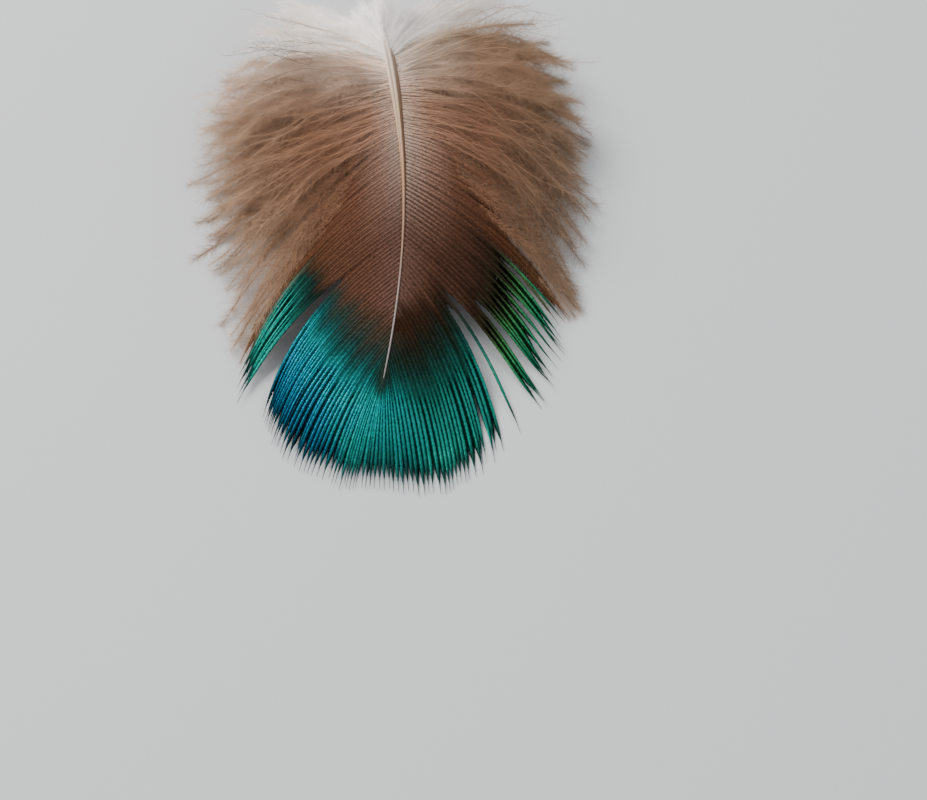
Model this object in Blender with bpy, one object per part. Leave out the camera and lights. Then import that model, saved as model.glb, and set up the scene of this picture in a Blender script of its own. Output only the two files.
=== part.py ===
"""A peacock's body feather, lying on a surface with its outer side up.

One grown piece: a horny shaft that arches from its quill to its hair-thin tip, two vanes of
barbs that part into separate tongues round the rounded end, and soft locks of down at the base.

+X is to the feather's right, +Y runs from the vane's rounded end to the quill, +Z is up.
The origin is on the surface, under the middle of the whole feather.
"""

import math
import random

import bmesh
import bpy

MM = 0.001  # lengths below are in millimetres, and the scene is in metres
BOX_MIDDLE_Y = 1.7  # where the middle of the feather's box is, along Y as measured below

# The shaft, seen from above: it bows a little to the right, and runs along Y.
QUILL_END_Y = 38.0
RACHIS_TIP_Y = -24.2
VANE_END_Y = -38.2
SHAFT_MIDDLE_X = 1.8  # where the bow is widest
SHAFT_BOW_Y = -1.0
SHAFT_BOW = 0.0045  # mm of sideways bend for each square mm along Y
QUILL_STRAIGHTENS = 0.0018  # the bend past the crest, towards the quill, is gentler

# The shaft, seen from the side: it arches over a crest and comes down at both ends.
CREST_Y = 9.0
CREST_HEIGHT = 9.2
QUILL_END_HEIGHT = 0.75
VANE_END_HEIGHT = -1.3

# Half the shaft's thickness: (distance along Y, radius).
SHAFT_RADII = (
    (38.0, 0.42),
    (36.0, 0.60),
    (30.0, 0.66),
    (24.0, 0.61),
    (18.0, 0.52),
    (10.0, 0.42),
    (0.0, 0.32),
    (-10.0, 0.26),
    (-24.2, 0.22),
)
SHAFT_STEPS = 22

# How barbs leave the shaft, left and right: (root along Y, angle off the shaft's own direction at
# the root, angle off the feather's length at the barb's end, how late it bends, length). From 2
# down these have iridescent ends. Groups of barbs part at the steps.
BARB_STATIONS = {
    -1: (
        (33.0, 106.0, 106.0, 1.0, 20.0),
        (28.0, 93.0, 92.0, 1.0, 26.5),
        (22.0, 79.0, 74.0, 1.0, 29.0),
        (15.0, 66.0, 54.0, 1.0, 30.0),
        (8.0, 59.0, 34.0, 1.3, 31.0),
        (3.0, 54.0, 20.0, 2.2, 32.0),
        (-4.4, 53.0, 18.0, 2.4, 30.5),
        (-4.75, 51.5, 9.0, 1.8, 30.0),
        (-13.0, 45.0, 14.0, 1.8, 25.5),
        (-18.5, 33.0, 13.0, 1.2, 20.5),
        (-20.9, 24.0, 11.0, 1.0, 18.0),
        (-22.5, 16.0, 8.5, 1.0, 16.2),
        (-23.5, 9.5, 5.5, 1.0, 15.0),
        (-24.2, 0.0, 0.0, 1.0, 14.0),
    ),
    1: (
        (33.0, 108.0, 109.0, 1.0, 20.5),
        (28.0, 97.0, 98.0, 1.0, 26.0),
        (22.0, 83.0, 66.0, 1.0, 28.5),
        (15.0, 74.0, 40.0, 1.0, 29.0),
        (8.0, 63.0, 36.0, 1.2, 29.0),
        (2.0, 56.0, 38.0, 1.6, 28.5),
        (-7.0, 50.0, 34.0, 1.8, 27.5),
        (-7.4, 48.0, 9.0, 1.2, 29.0),
        (-13.0, 43.0, 6.0, 1.0, 26.0),
        (-17.0, 39.0, 5.0, 0.9, 23.0),
        (-20.9, 26.0, 5.0, 1.0, 18.3),
        (-22.5, 17.0, 4.5, 1.0, 16.2),
        (-23.5, 9.0, 3.0, 1.0, 15.0),
        (-24.2, 0.0, 0.0, 1.0, 14.0),
    ),
}
BARB_STEPS = 16  # in following a barb's bend
VANE_CUP = 0.0135  # mm that the vane falls, for each square mm out from the shaft
LOWEST_BARB = -0.1  # the middle of the thin vane levels off at this height
LEVELLING = 1.2  # how gradually it levels off, in mm

# The vanes: tongues of barbs, joined up to the split and apart from there to their tips.
VANE_BASE_Y = 15.0
TONGUES_A_SIDE = 15
TONGUE_CROWDING = 1.15  # tongues are rooted closer together towards the tip
VANE_THICKNESS = 0.4
PLEAT_HEIGHT = 0.25  # each tongue's middle stands this far above its edges
JOINED_SHARES = (0.0, 0.1, 0.26, 0.42, 0.57, 0.70)  # along a barb
TONGUE_SHARES = ((0.80, 0.80), (0.91, 0.50), (1.0, 0.12))  # (along a barb, width left)
TONGUE_REACH = (0.80, 1.04)
GROUPS_PART_AT = {-1: -4.6, 1: -7.2}  # root where the barbs above and below go different ways
PARTED_BY = 0.25  # half the distance between the roots of the two barbs that part there
PARTED_FROM = 3  # the index in JOINED_SHARES up to which they are still joined

# The down: three layers of soft locks a side, from the quill to where the vanes begin.
DOWN_ROOTS = (33.6, 12.0)
DOWN_LOCKS = 8  # in each layer, on each side
DOWN_LAYERS = (
    # (rise at the root in degrees, droop as a share of length, thickness share, length share)
    (18.0, 0.33, 0.85, 0.96),
    (3.0, 0.26, 1.00, 1.08),
    (-12.0, 0.10, 0.90, 1.03),
)
DOWN_RADII = ((0.0, 0.7), (0.12, 1.2), (0.35, 1.7), (0.6, 1.75), (0.8, 1.4), (0.93, 0.75), (1.0, 0.18))
DOWN_CURL = 7.0  # degrees by which neighbouring locks differ in direction
LOCK_SINKS = 0.55  # a lock on the surface is sunk until its middle is this share of its radius up

SURFACE_BLOCK = (200.0, 200.0, 20.0)  # it trims what would lie below the surface

FEATHER_COLOUR = (0.10, 0.22, 0.19, 1.0)
FEATHER_ROUGHNESS = 0.45


def between(stations, at):
    """Values at a distance, eased between the stations on either side, which run one way."""
    rows = sorted(stations)
    if at <= rows[0][0]:
        return rows[0][1:]
    for low, high in zip(rows, rows[1:]):
        if at <= high[0]:
            share = (at - low[0]) / (high[0] - low[0])
            return tuple(a + (b - a) * share for a, b in zip(low[1:], high[1:]))
    return rows[-1][1:]


def shaft_x(y):
    bend = QUILL_STRAIGHTENS if y > CREST_Y else SHAFT_BOW
    away = y - SHAFT_BOW_Y
    if y <= CREST_Y:
        return SHAFT_MIDDLE_X - bend * away**2
    at_crest = CREST_Y - SHAFT_BOW_Y
    past = y - CREST_Y
    slope = 2 * SHAFT_BOW * at_crest
    return SHAFT_MIDDLE_X - SHAFT_BOW * at_crest**2 - slope * past - bend * past**2


def shaft_z(y):
    end_y, end_z = (QUILL_END_Y, QUILL_END_HEIGHT) if y > CREST_Y else (VANE_END_Y, VANE_END_HEIGHT)
    share = (y - CREST_Y) / (end_y - CREST_Y)
    return CREST_HEIGHT - (CREST_HEIGHT - end_z) * share**2


def vane_z(x, y):
    """Height of the vane's middle: the shaft's arch, falling away to both sides to level off."""
    fallen = shaft_z(y) - VANE_CUP * (x - shaft_x(y)) ** 2
    above = fallen - LOWEST_BARB
    return LOWEST_BARB + 0.5 * (above + math.hypot(above, LEVELLING))


def shaft_lean(y):
    """How far the shaft's direction, going to the tip, is off the feather's length."""
    past_crest = max(y - CREST_Y, 0.0)
    return math.atan(2 * SHAFT_BOW * (y - past_crest - SHAFT_BOW_Y) + 2 * QUILL_STRAIGHTENS * past_crest)


def barb_plan(side, root_y, share, turn=0.0, stretch=1.0):
    """A point along a barb, seen from above: barbs bend towards the tip."""
    start, end, bend, length = between(BARB_STATIONS[side], root_y)
    first = side * math.radians(start + turn) + shaft_lean(root_y)
    last = side * math.radians(end + turn)
    x, y = shaft_x(root_y), root_y
    step = share * stretch / BARB_STEPS
    for i in range(BARB_STEPS):
        angle = first + (last - first) * (step * (i + 0.5)) ** bend
        x += step * length * math.sin(angle)
        y -= step * length * math.cos(angle)
    return x, y


def tongue_root(share):
    """Root along Y at a share of the way from the vane's base to the shaft's tip."""
    return VANE_BASE_Y + (RACHIS_TIP_Y - VANE_BASE_Y) * (1 - (1 - share) ** TONGUE_CROWDING)


def vane_solid():
    """Both vanes as one thin sheet, with pleats and with tongues round its edge."""
    chance = random.Random(11)
    sheet = bmesh.new()
    half = 0.5 / (TONGUES_A_SIDE + 0.5)
    spine = {}

    def point(side, at, share, lift, aside=0.0):
        x, y = barb_plan(side, tongue_root(at) + aside, share)
        return sheet.verts.new((x, y, vane_z(x, y) + lift))

    def barb(side, at, lift):
        """The vertices along one barb, where neighbours are joined."""
        key = round(at / half)
        if key not in spine:
            spine[key] = point(side, at, 0.0, 0.0)
        return [spine[key]] + [point(side, at, share, lift) for share in JOINED_SHARES[1:]]

    def edge_barb(side, at):
        """The barb between two tongues, once for each: they differ only where groups part."""
        line = barb(side, at, 0.0)
        if abs(tongue_root(at) - GROUPS_PART_AT[side]) > PARTED_BY:
            return line, line
        parted = []
        for aside in (PARTED_BY, -PARTED_BY):
            free = [point(side, at, share, 0.0, aside) for share in JOINED_SHARES[PARTED_FROM + 1:]]
            parted.append(line[:PARTED_FROM + 1] + free)
        for vertex in line[PARTED_FROM + 1:]:
            sheet.verts.remove(vertex)
        return parted

    def tongue(edges, middle, reach):
        """Faces between two edge barbs, pleated along the middle one, and on to a narrow tip."""
        (side, at, barb_line), (far_side, far_at, far_line) = edges
        mid_side, mid_at, mid_line = middle
        rows = [list(row) for row in zip(barb_line, mid_line, far_line)]
        for share, width in TONGUE_SHARES:
            along = JOINED_SHARES[-1] + (share - JOINED_SHARES[-1]) * reach
            rows.append([
                point(side, mid_at + (at - mid_at) * width, along, 0.0),
                point(mid_side, mid_at, along, PLEAT_HEIGHT),
                point(far_side, mid_at + (far_at - mid_at) * width, along, 0.0),
            ])
        for near, far in zip(rows, rows[1:]):
            sheet.faces.new((near[0], near[1], far[1], far[0]))
            sheet.faces.new((near[1], near[2], far[2], far[1]))

    last = {}
    for side in (-1, 1):
        at = 0.0
        edge, _ = edge_barb(side, at)
        for _ in range(TONGUES_A_SIDE):
            middle = barb(side, at + half, PLEAT_HEIGHT)
            ending, following = edge_barb(side, at + 2 * half)
            edges = ((side, at, edge), (side, at + 2 * half, ending))
            tongue(edges, (side, at + half, middle), chance.uniform(*TONGUE_REACH))
            edge = following
            at += 2 * half
        last[side] = (side, at, edge)
    tongue((last[-1], last[1]), (1, 1.0, barb(1, 1.0, PLEAT_HEIGHT)), 1.0)
    under = bmesh.ops.extrude_face_region(sheet, geom=list(sheet.faces))["geom"]
    lowered = [part for part in under if isinstance(part, bmesh.types.BMVert)]
    bmesh.ops.translate(sheet, vec=(0, 0, -VANE_THICKNESS), verts=lowered)
    bmesh.ops.translate(sheet, vec=(0, 0, VANE_THICKNESS / 2), verts=sheet.verts)
    bmesh.ops.recalc_face_normals(sheet, faces=sheet.faces)
    return sheet


def object_from(made, name):
    bmesh.ops.scale(made, vec=(MM, MM, MM), verts=made.verts)
    mesh = bpy.data.meshes.new(name)
    made.to_mesh(mesh)
    made.free()
    obj = bpy.data.objects.new(name, mesh)
    bpy.context.scene.collection.objects.link(obj)
    return obj


def rounded_strand(name, points):
    """A closed, tapering strand along (x, y, z, radius) points, six-sided."""
    curve = bpy.data.curves.new(name, "CURVE")
    curve.dimensions = "3D"
    curve.bevel_depth = MM
    curve.bevel_resolution = 1
    curve.use_fill_caps = True
    spline = curve.splines.new("POLY")
    spline.points.add(len(points) - 1)
    for place, (x, y, z, radius) in zip(spline.points, points):
        place.co = (x * MM, y * MM, z * MM, 1.0)
        place.radius = radius
    drawn = bpy.data.objects.new(name, curve)
    bpy.context.scene.collection.objects.link(drawn)
    bpy.context.view_layer.update()
    mesh = bpy.data.meshes.new_from_object(drawn.evaluated_get(bpy.context.evaluated_depsgraph_get()))
    bpy.data.objects.remove(drawn)
    made = bmesh.new()
    made.from_mesh(mesh)
    bpy.data.meshes.remove(mesh)
    bmesh.ops.remove_doubles(made, verts=made.verts, dist=1e-3 * MM)
    bmesh.ops.recalc_face_normals(made, faces=made.faces)
    bmesh.ops.scale(made, vec=(1 / MM,) * 3, verts=made.verts)
    return object_from(made, name)


def shaft():
    points = []
    for i in range(SHAFT_STEPS + 1):
        y = QUILL_END_Y + (RACHIS_TIP_Y - QUILL_END_Y) * i / SHAFT_STEPS
        (radius,) = between(SHAFT_RADII, y)
        points.append((shaft_x(y), y, shaft_z(y), radius))
    return rounded_strand("shaft", points)


def down_lock(side, layer, index, chance):
    """One soft lock: a spindle that leaves the shaft with the barbs and droops."""
    rise, droop, thickness, reach = layer
    share = (index + chance.uniform(0.35, 0.65)) / DOWN_LOCKS
    root_y = DOWN_ROOTS[0] + (DOWN_ROOTS[1] - DOWN_ROOTS[0]) * share
    turn = chance.uniform(-DOWN_CURL, DOWN_CURL)
    length = between(BARB_STATIONS[side], root_y)[3] * reach
    stretch = reach * chance.uniform(0.9, 1.0)
    points = []
    for along, radius in DOWN_RADII:
        x, y = barb_plan(side, root_y, along, turn, stretch)
        climb = length * along * math.sin(math.radians(rise))
        fall = length * droop * along**2
        z = shaft_z(root_y) + climb - fall
        points.append((x, y, max(z, radius * thickness * LOCK_SINKS), radius * thickness))
    return rounded_strand("lock", points)


def combine(target, others, operation):
    for other in others:
        step = target.modifiers.new(operation.lower(), "BOOLEAN")
        step.operation = operation
        step.object = other
    bpy.context.view_layer.update()
    graph = bpy.context.evaluated_depsgraph_get()
    joined = bpy.data.meshes.new_from_object(target.evaluated_get(graph))
    target.modifiers.clear()
    target.data = joined
    for other in others:
        bpy.data.objects.remove(other)


def surface_block():
    """What would lie below the surface, to trim the feather flat where it rests."""
    made = bmesh.new()
    bmesh.ops.create_cube(made, size=1.0)
    bmesh.ops.scale(made, vec=SURFACE_BLOCK, verts=made.verts)
    bmesh.ops.translate(made, vec=(0, 0, -SURFACE_BLOCK[2] / 2), verts=made.verts)
    return object_from(made, "surface")


def feather_material():
    material = bpy.data.materials.new("feather")
    material.use_nodes = True
    shader = material.node_tree.nodes["Principled BSDF"]
    shader.inputs["Base Color"].default_value = FEATHER_COLOUR
    shader.inputs["Roughness"].default_value = FEATHER_ROUGHNESS
    shader.inputs["Metallic"].default_value = 0.1
    return material


def main():
    for obj in list(bpy.data.objects):
        bpy.data.objects.remove(obj)

    feather = object_from(vane_solid(), "feather")
    chance = random.Random(5)
    locks = [
        down_lock(side, layer, index, chance)
        for layer in DOWN_LAYERS
        for side in (-1, 1)
        for index in range(DOWN_LOCKS)
    ]
    combine(feather, [shaft()] + locks, "UNION")
    combine(feather, [surface_block()], "DIFFERENCE")
    for vertex in feather.data.vertices:
        vertex.co.y -= BOX_MIDDLE_Y * MM
    feather.data.materials.clear()
    feather.data.materials.append(feather_material())
    feather.data.shade_smooth()
    feather.data.set_sharp_from_angle(angle=math.radians(40))


main()
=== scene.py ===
"""The looks of one small peacock body feather: its horny shaft, its vanes and its down.

The feather lies with its outer side up. Lengths in the making are millimetres.
"""

import math

import bpy
import numpy as np
from bpy.props import FloatProperty, FloatVectorProperty, IntProperty, PointerProperty
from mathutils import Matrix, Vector


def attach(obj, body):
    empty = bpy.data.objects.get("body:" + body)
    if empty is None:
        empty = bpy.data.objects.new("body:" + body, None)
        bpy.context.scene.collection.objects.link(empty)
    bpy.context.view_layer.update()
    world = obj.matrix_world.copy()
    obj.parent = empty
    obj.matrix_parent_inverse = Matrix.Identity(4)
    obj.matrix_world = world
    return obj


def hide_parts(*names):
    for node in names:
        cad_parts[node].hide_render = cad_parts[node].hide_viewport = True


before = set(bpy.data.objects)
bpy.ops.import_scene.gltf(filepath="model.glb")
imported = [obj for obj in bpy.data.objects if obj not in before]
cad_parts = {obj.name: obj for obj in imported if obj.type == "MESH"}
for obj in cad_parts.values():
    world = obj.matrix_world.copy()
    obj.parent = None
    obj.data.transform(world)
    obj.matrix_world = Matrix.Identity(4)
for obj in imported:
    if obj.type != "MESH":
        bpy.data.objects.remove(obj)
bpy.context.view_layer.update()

bl_info = {
    "name": "Peacock Feather",
    "version": (1, 0, 0),
    "blender": (4, 5, 0),
    "location": "3D View > Sidebar > Feather",
    "description": "Builds one peacock body feather, barb by barb",
    "category": "Add Mesh",
}

MM = 0.001
BODY = "root"
NODE = "feather"

# The middle of the solids' box, along Y as measured below.
BOX_MIDDLE_Y = 1.7

# The shaft's line, as in the solids.
QUILL_END_Y = 38.0
RACHIS_TIP_Y = -24.2
VANE_END_Y = -38.2
SHAFT_MIDDLE_X = 1.8
SHAFT_BOW_Y = -1.0
SHAFT_BOW = 0.0045
QUILL_STRAIGHTENS = 0.0018
CREST_Y = 9.0
CREST_HEIGHT = 9.2
QUILL_END_HEIGHT = 0.75
VANE_END_HEIGHT = -1.3
VANE_CUP = 0.0135
LOWEST_BARB = 0.12
LEVELLING = 1.2

# Half the shaft's thickness: (distance along Y, radius).
SHAFT_RADII = (
    (38.3, 0.20),
    (38.0, 0.36),
    (36.0, 0.70),
    (30.0, 0.84),
    (24.0, 0.82),
    (18.0, 0.68),
    (10.0, 0.42),
    (2.3, 0.27),
    (-5.8, 0.18),
    (-15.0, 0.15),
    (-20.0, 0.13),
    (-23.0, 0.11),
    (-24.2, 0.06),
)
# From here to its end the quill narrows and closes, with its points closer together.
QUILL_CLOSES_Y = 36.0
# Grooves along the shaft: (degrees round its section from the right, breadth, share of the depth).
SHAFT_GROOVES = ((112, 17, 1.0), (32, 15, 0.6))
# How far the shaft stands up out of the barbs at its thin end: (distance along Y, height).
SHAFT_STANDS = ((0.0, 0.0), (-12.0, 0.05), (-20.0, 0.12), (-24.2, 0.2))

# Barbs, left and right: (root along Y, angle off the shaft's own direction at the root, angle off
# the feather's length at the barb's end, how late it bends, length).
BARB_STATIONS = {
    -1: (
        (33.0, 106.0, 106.0, 1.0, 20.0),
        (28.0, 93.0, 92.0, 1.0, 26.5),
        (22.0, 79.0, 74.0, 1.0, 29.0),
        (15.0, 66.0, 54.0, 1.0, 30.0),
        (8.0, 59.0, 34.0, 1.3, 31.0),
        (3.0, 54.0, 20.0, 2.2, 32.0),
        (-4.4, 53.0, 18.0, 2.4, 30.5),
        (-4.75, 51.5, 9.0, 1.8, 30.0),
        (-13.0, 45.0, 14.0, 1.8, 25.5),
        (-18.5, 33.0, 13.0, 1.2, 20.5),
        (-20.9, 24.0, 11.0, 1.0, 18.0),
        (-22.5, 16.0, 8.5, 1.0, 16.2),
        (-23.5, 9.5, 5.5, 1.0, 15.0),
        (-24.2, 0.0, 0.0, 1.0, 14.0),
    ),
    1: (
        (33.0, 108.0, 109.0, 1.0, 20.5),
        (28.0, 97.0, 98.0, 1.0, 26.0),
        (22.0, 83.0, 66.0, 1.0, 28.5),
        (15.0, 74.0, 40.0, 1.0, 29.0),
        (8.0, 63.0, 36.0, 1.2, 29.0),
        (2.0, 56.0, 38.0, 1.6, 28.5),
        (-7.0, 50.0, 34.0, 1.8, 27.5),
        (-7.4, 48.0, 9.0, 1.2, 29.0),
        (-13.0, 43.0, 6.0, 1.0, 26.0),
        (-17.0, 39.0, 5.0, 0.9, 23.0),
        (-20.9, 26.0, 5.0, 1.0, 18.3),
        (-22.5, 17.0, 4.5, 1.0, 16.2),
        (-23.5, 9.0, 3.0, 1.0, 15.0),
        (-24.2, 0.0, 0.0, 1.0, 14.0),
    ),
}

# Distance from one barb's root to the next: (distance along Y, pitch).
ROOT_PITCH = {
    -1: ((21.0, 0.56), (8.0, 0.56), (3.0, 0.64), (-19.0, 0.64), (-24.2, 0.22)),
    1: ((21.0, 0.54), (8.0, 0.56), (0.0, 0.69), (-19.0, 0.69), (-24.2, 0.23)),
}
VANE_BASE_Y = 21.0

# Where barbs stop hooking together and turn downy: (root along Y, distance from the root).
DOWNY_FROM = ((2.5, 60.0), (5.0, 19.0), (8.0, 12.5), (14.0, 6.5), (18.0, 3.5), (21.0, 1.5))

# Groups of barbs that stand apart: (side, from root, to root, spread in degrees, lift, share of the
# painted highlight's width).
LOOSE_GROUPS = (
    (-1, -4.6, 3.5, 2.0, 0.5, 0.9),
    (1, -7.2, -5.2, 1.0, 0.2, 1.0),
    (1, -5.2, 3.2, 5.0, 0.7, 0.8),
)

# Down: (rise at the root in degrees, droop as a share of length, length share, barbs a side,
# highest root, lowest root, turn backwards of the highest, barbule pitch, shares of the width of
# the barbules and of the barbs' own rods).
DOWN_LAYERS = {
    "top": (15.0, 0.33, 0.93, 36, 29.0, 19.5, 1.0, 0.028, 0.9, 1.0),
    "middle": (3.0, 0.26, 0.97, 48, 30.0, 14.0, 1.0, 0.032, 0.9, 1.0),
    "bare": (13.0, 0.30, 1.02, 60, 29.0, 11.0, 2.0, 0.240, 0.8, 1.0),
    "under": (-10.0, 0.10, 0.95, 28, 30.0, 11.0, 0.0, 0.050, 1.0, 1.0),
    "wisps": (12.0, 0.18, 0.62, 20, 36.3, 28.0, 8.0, 0.110, 0.7, 1.0),
    "veil": (34.0, 0.60, 0.34, 24, 35.5, 25.5, 74.0, 0.050, 0.7, 1.0),
    "halo": (10.0, 0.14, 0.76, 34, 33.5, 26.5, 20.0, 0.080, 0.7, 1.2),
    "hairs": (25.0, 0.28, 0.84, 14, 30.0, 21.0, 23.0, 0.600, 1.0, 1.9),
}
# How much paler than the rest a layer is, left and right. Below nought it is darker.
PALE_LAYERS = {"wisps": (0.8, 0.8), "veil": (0.9, 0.9), "halo": (0.9, 0.9), "hairs": (-1.0, 0.0)}
DOWN_PIECES = {
    "down": ("top", "middle", "bare"),
    "underdown": ("under", "wisps", "veil", "halo", "hairs"),
}
SIDES = {"left": -1, "right": 1}
# How far back the highest down is turned on each side, in degrees. Below nought it leans forward.
DOWN_TURN = {-1: -2.0, 1: -4.0}
# The turn sets in over this part of the shaft.
TURN_FROM = 20.0
TURN_WHOLE = 32.0
# How much closer to the quill's end the highest down is rooted on each side.
DOWN_ENDS = {-1: -3.2, 1: -2.0}
# The height that the down's barbs stay under: as the solids' locks, they lie loosely, not upright.
DOWN_TOP = 11.1
# How much of a down barb is bare from its root on: (root along Y, share).
DOWN_BARE = ((12.0, 0.22), (18.0, 0.14), (23.0, 0.05), (30.0, 0.03))
# The fluff on the vane's upper barbs: distance between its barbules, and how much sooner it sets
# in than the hooked barbules end.
FLUFF_PITCH = 0.04
FLUFF_SOONER = 0.7

# Points along each barb's line.
VANE_SAMPLES = 32
DOWN_SAMPLES = 26
# Nothing is lower than this above the surface, and no line that a vane's barb follows than this.
LOWEST_POINT = 0.02
LOWEST_LINE = 0.06
# The last barbule's share of the way along a barb.
LAST_BARBULE = 0.995
# Where in a wave a barb begins, anywhere in the round, and a full turn of it, in radians.
WAVE_BEGINS = (0, 6.3)
FULL_TURN = 6.28

# How uneven the vane's barbs are, as standard deviations of the place, angles in degrees and share
# of the length: (on the hooked part, how much more on the downy part).
ROOT_UNEVEN = 0.04
START_UNEVEN = (0.35, 1.5)
END_UNEVEN = (0.5, 6.0)
LENGTH_UNEVEN = (0.014, 0.04)
BARB_LIFT = (-0.03, 0.06)
# Barbs hold together in clumps, whose ends are turned, shortened and lifted as one.
CLUMP_CHANCE = 0.16
CLUMP_TURN = (1.0, 3.0)
CLUMP_LENGTH = 0.012
CLUMP_LIFT = 0.09
# The part of the shaft over which barbs turn downy, and their waves there, upwards and sideways:
# (height in mm, radians from root to tip).
DOWNY_REGION = (2.0, 8.0)
WAVE_UP = (0.6, 9)
WAVE_SIDEWAYS = (0.25, 11)

# Hooked barbules: angles off the barb and down from the vane, in degrees, each with how uneven it
# is. On a barb's one side they dip this much more than that, and on its other side less.
BARBULE_ANGLE = (41, 2.5)
BARBULE_DIP = (15, 3)
DIP_BY_HAND = 5
# Shares of a barbule's length before and after it bends, and how much it bends forward and down.
BARBULE_PARTS = (0.7, 0.3)
BARBULE_BEND = 0.3
# How uneven the places of barbules are, in pitches, and their reach.
BARBULE_PLACES = (0.3, 0.7)
REACH_UNEVEN = (0.9, 1.1)
# Barbs turn downy at this share of the distance in DOWNY_FROM, or up to this much later.
DOWNY_UNEVEN = (0.75, 0.5)
# On the closed vane barbules reach this share of the distance to the next barb and this much more,
# between these limits. Where the next barb is further away than a distance, they are this long.
HOOKED_REACH = (0.62, 0.13)
HOOKED_LIMITS = (0.1, 0.95)
UNHOOKED_REACH = (1.8, 0.3)
# Where barbs run close together, this much of each has the painted highlight, and this share of the
# distance to the next one.
LIT_WHERE_CLOSE = (0.02, 0.25)
# The painted highlight's width, as a share, on each side.
LIT_SHARE = {-1: 1.0, 1: 1.2}
# Nearer the tip than this the vane is parted, and barbules reach this far: (distance to the next
# barb, reach).
PARTED_FROM_Y = 3.2
PARTED_REACH = ((0.0, 0.13), (0.88, 0.68), (1.02, 0.25), (9.0, 0.2))
# Share of the reach, and width as a share of the pitch: (distance from the barb's tip, share).
REACH_TO_TIP = ((0, 0.05), (1.5, 0.13), (3.5, 0.6), (6.5, 1.0))
WIDTH_TO_TIP = ((0, 0.6), (4, 1.3))

# Loose barbules: angle off the barb in degrees and how uneven it is, and share of their length:
# (distance from the barb's tip, share) and (distance from where they set in, share).
LOOSE_ANGLE = (38, 17)
LOOSE_TO_TIP = ((0, 0.75), (2, 1.0), (7, 1.1), (14, 1.0))
LOOSE_SETS_IN = ((0, 0.3), (7, 1.0))
# They thin out towards the tip: nearer to nought, they thin out more.
LOOSE_THINNING = 0.78
# How uneven they are: round the barb in radians, in direction, in facing, and in length.
LOOSE_ROLL = 0.6
LOOSE_WAVER = 0.16
LOOSE_FACING = 0.2
LOOSE_LENGTHS = (0.4, 1.4)

# How uneven the down's barbs are: angles at the root and at the end in degrees, and the ranges of
# the length, of the droop, of how far they wave in mm, and of how long a wave is in mm.
DOWN_START_UNEVEN = 5
DOWN_END_UNEVEN = 11
# The same for the rise, which is never further off than this.
DOWN_RISE_UNEVEN = 4
DOWN_RISE_LIMIT = 6
DOWN_LENGTHS = (0.72, 1.02)
DOWN_DROOPS = (0.7, 1.25)
DOWN_SWINGS = (0.3, 1.2)
DOWN_WAVES = (8, 14)
# The height that the down's barbs level off at, above the surface, and how softly they level off
# there and under DOWN_TOP, in mm.
DOWN_BOTTOM = 0.25
DOWN_LEVELLING = (0.8, 1.0)

# Half-widths and heights of the barbs' own rods: (distance from the barb's tip, size).
BARB_HALF_WIDTH = ((0.0, 0.012), (1.0, 0.025), (4.0, 0.055), (10.0, 0.075), (31.0, 0.085))
BARB_HEIGHT = ((0.0, 0.01), (2.0, 0.03), (10.0, 0.05), (31.0, 0.06))
DOWN_HALF_WIDTH = ((0.0, 0.008), (6.0, 0.019), (20.0, 0.028), (31.0, 0.045))

# Lengths that the colours below are given for, in mm.
HORN_SPAN = 62.0
ENDS_SPAN = 26.0
BROWNS_SPAN = 30.0
DOWN_SPAN = 30.0

# Colours of the shaft's lit side and of its side in painted shade: (distance from its tip in mm,
# colour).
HORN_COLOURS = {
    "lit": (
        (0.0, "a8a4a6"), (8.0, "b8aaa6"), (18.0, "b48c70"), (28.0, "c8946a"), (38.0, "e6c49e"),
        (48.0, "fae2cc"), (56.0, "fcf0e6"),
    ),
    "shaded_side": (
        (0.0, "5c5655"), (8.0, "5c4b44"), (18.0, "54321e"), (28.0, "5e3a20"), (38.0, "6c4c36"),
        (48.0, "78624f"), (56.0, "8c7a6c"), (62.0, "c0b0a0"),
    ),
}

# How much painted shade the shaft has, from its left flank (0) to its right (1): painted shade in the
# groove left of its top and on the flank away from the light.
HORN_PAINTED_SHADE = (
    (0.0, 0.1), (0.16, 0.0), (0.27, 0.7), (0.37, 0.6), (0.45, 0.0), (0.58, 0.1), (0.68, 1.0)
)
# Soft noise mostly stays between these values.
NOISE_RANGE = (0.3, 0.7)

# Fibres in the horn, to each mm across, along and across again: they are some 0.1 mm thick and 6 mm
# long. The ridges they make are 0.02 mm high, and their tones lie between these two.
HORN_FIBRES = (9.0, 0.16, 9.0)
HORN_RIDGES = 0.02
HORN_TONES = (0.86, 1.08)

# Colours of the iridescent ends: (distance from the barb's tip in mm, colour).
BARB_ENDS = {
    "blue": (
        (0.0, "161a1c"), (3.0, "0c3440"), (5.0, "0c5c78"), (7.5, "0a809c"), (10.5, "0898a8"),
        (12.5, "0a9098"), (14.0, "107c7a"), (15.5, "1c5a56"), (17.5, "2e443e"), (19.5, "444238"),
        (23.0, "5a4030"),
    ),
    "teal": (
        (0.0, "16201e"), (3.0, "184440"), (5.5, "148a82"), (8.0, "12a8a0"), (10.5, "10b0ac"),
        (12.5, "149a92"), (13.5, "14706a"), (15.0, "1a4c46"), (17.0, "22382f"), (19.5, "343a32"),
        (23.0, "54402f"),
    ),
    "green": (
        (0.0, "141e18"), (3.0, "184a40"), (5.5, "20a08c"), (8.0, "24a896"), (10.5, "24a090"),
        (12.0, "208a78"), (13.0, "1c685c"), (14.5, "1c4e44"), (16.5, "1e342c"), (19.0, "26281f"),
        (22.0, "3c281c"),
    ),
    "stray": (
        (0.0, "141e18"), (3.0, "1c5a44"), (5.0, "2c9068"), (8.0, "48a468"), (9.5, "4c9054"),
        (11.0, "465c3a"), (12.5, "3c3a28"), (15.0, "3a2a20"), (18.0, "50362a"),
    ),
}

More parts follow.
